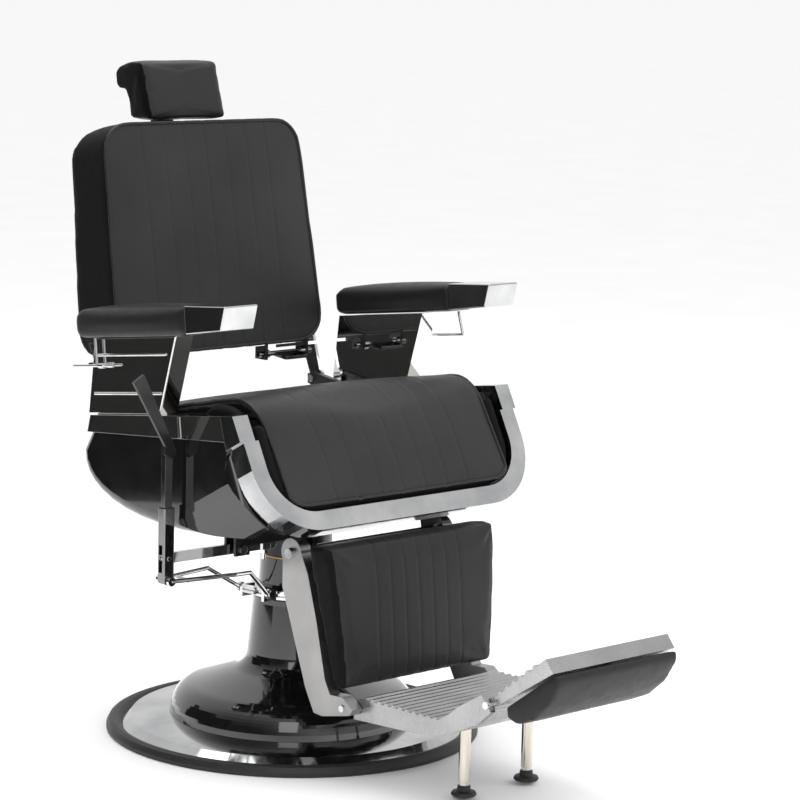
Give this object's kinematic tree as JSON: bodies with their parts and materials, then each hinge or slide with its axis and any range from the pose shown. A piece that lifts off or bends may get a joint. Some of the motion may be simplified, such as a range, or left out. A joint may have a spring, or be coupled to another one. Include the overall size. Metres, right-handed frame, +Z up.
{
  "type": "hydraulic barber chair",
  "caption": "Reclining barber chair with a round pump base, side hand lever, padded arms, headrest, leg rest, ribbed footplate and flip-out step.",
  "frame": {"origin": "on the floor, on the axis of the pump column at the centre of the round base", "axes": "+Z up along the column, the chair faces -Y, +X is the sitter's left"},
  "size_m": [0.778, 1.24, 1.199],
  "materials": {
    "black_rubber": "satin black rubber",
    "polished_steel": "mirror polished stainless steel",
    "gloss_black": "high gloss black moulding",
    "machined_steel": "fine turned steel",
    "bronze": "plain bearing bronze",
    "black_steel": "black enamel",
    "chromed_rod": "chrome plate",
    "panel_steel": "dark mirror steel",
    "plywood": "plain plywood",
    "black_leather": "fine grain upholstery leathercloth, stitched",
    "black_board": "matte black backing board",
    "cast_aluminium": "linished cast aluminium",
    "nickel": "warm nickel plate"
  },
  "bodies": {
    "base": {"base_edge_ring": "black_rubber", "base_plate": "polished_steel", "bell_and_neck": "gloss_black", "pump_cylinder": "machined_steel", "cylinder_bolts": "machined_steel", "thrust_washer": "bronze"},
    "turret": {"pump_head": "black_steel", "fulcrum_bracket": "black_steel", "fulcrum_pin": "machined_steel", "yoke_collar": "chromed_rod", "yoke_pins": "machined_steel"},
    "pump_lever": {"pump_bar": "chromed_rod", "adjusting_bolt": "machined_steel"},
    "hand_lever": {"lever_sleeve": "chromed_rod", "lever_pivot_pin": "machined_steel", "lever_bar": "chromed_rod", "lever_paddle": "black_steel"},
    "yoke": {"yoke_rods": "chromed_rod"},
    "seat": {"ram": "machined_steel", "seat_subframe": "black_steel", "seat_board": "plywood", "front_frame": "polished_steel", "rail_end_sleeves": "polished_steel", "seat_cushion": "black_leather", "back_hinge_lugs": "black_steel", "back_hinge_pins": "machined_steel", "leg_slide_hangers": "black_steel", "side_rail_right": "polished_steel", "side_rail_left": "polished_steel", "side_apron_right": "gloss_black", "side_apron_left": "gloss_black", "arm_panel_right": "panel_steel", "arm_panel_left": "panel_steel", "arm_pad_right": "black_leather", "arm_pad_left": "black_leather", "arm_front_cap_right": "polished_steel", "arm_front_cap_left": "polished_steel", "towel_wire_right": "polished_steel", "towel_wire_left": "polished_steel"},
    "leg_carriage": {"leg_slide_bars": "black_steel", "leg_rest_shaft": "machined_steel"},
    "backrest": {"back_cushion": "black_leather", "back_panel": "black_board", "back_hinge_arms": "chromed_rod", "headrest_guide": "machined_steel", "recline_brackets": "black_steel"},
    "headrest": {"headrest_stem": "machined_steel", "headrest_pad": "black_leather"},
    "recline_release": {"recline_handle": "chromed_rod"},
    "leg_rest": {"leg_bracket_right": "cast_aluminium", "leg_bracket_left": "cast_aluminium", "leg_pad": "black_leather", "footplate": "cast_aluminium", "flip_hinge_pins": "machined_steel", "stand_legs": "nickel", "stand_lock_nuts": "nickel", "stand_feet": "black_rubber", "leg_rest_screws": "machined_steel"},
    "flip_step": {"flip_panel": "cast_aluminium", "calf_pad": "black_leather"}
  },
  "joints": [
    {"name": "chair_swivel", "type": "hinge", "parent": "base", "child": "turret", "pos_m": [0, 0, 0.325], "axis": [0, 0, 1], "continuous": true},
    {"name": "seat_lift", "type": "slide", "parent": "turret", "child": "seat", "axis": [0, 0, 1], "range_m": [0, 0.15]},
    {"name": "pump_stroke", "type": "hinge", "parent": "turret", "child": "pump_lever", "pos_m": [-0.19, -0.06, 0.367], "axis": [0, 1, 0], "range_deg": [-12, 8]},
    {"name": "hand_lever_upright", "type": "hinge", "parent": "pump_lever", "child": "hand_lever", "pos_m": [-0.349, -0.06, 0.369], "axis": [0, 1, 0], "range_deg": [-8.1, 12.1]},
    {"name": "yoke_follow", "type": "hinge", "parent": "turret", "child": "yoke", "pos_m": [-0.095, 0, 0.268], "axis": [0, 1, 0], "range_deg": [-7.6, 5.1]},
    {"name": "back_recline", "type": "hinge", "parent": "seat", "child": "backrest", "pos_m": [0, 0.228, 0.598], "axis": [-1, 0, 0], "range_deg": [0, 50]},
    {"name": "leg_slide", "type": "slide", "parent": "seat", "child": "leg_carriage", "axis": [0, -0.9854, -0.1702], "range_m": [0, 0.1305]},
    {"name": "leg_lift", "type": "hinge", "parent": "leg_carriage", "child": "leg_rest", "pos_m": [0, -0.196, 0.38], "axis": [-1, 0, 0], "range_deg": [0, 60.1]},
    {"name": "step_flip", "type": "hinge", "parent": "leg_rest", "child": "flip_step", "pos_m": [0, -0.656, 0.202], "axis": [-1, 0, 0], "range_deg": [0, 110]},
    {"name": "headrest_height", "type": "slide", "parent": "backrest", "child": "headrest", "axis": [0, 0.1788, 0.9839], "range_m": [0, 0.07]},
    {"name": "recline_handle_turn", "type": "hinge", "parent": "backrest", "child": "recline_release", "pos_m": [0.15, 0.214, 0.656], "axis": [-1, 0, 0], "range_deg": [0, 18]}
  ],
  "couplings": [
    {"joint": "hand_lever_upright", "follows": "pump_stroke", "ratio": -1},
    {"joint": "yoke_follow", "follows": "pump_stroke", "ratio": 0.626},
    {"joint": "leg_slide", "follows": "back_recline", "m_per_rad": 0.149},
    {"joint": "leg_lift", "follows": "back_recline", "ratio": 1.2}
  ]
}
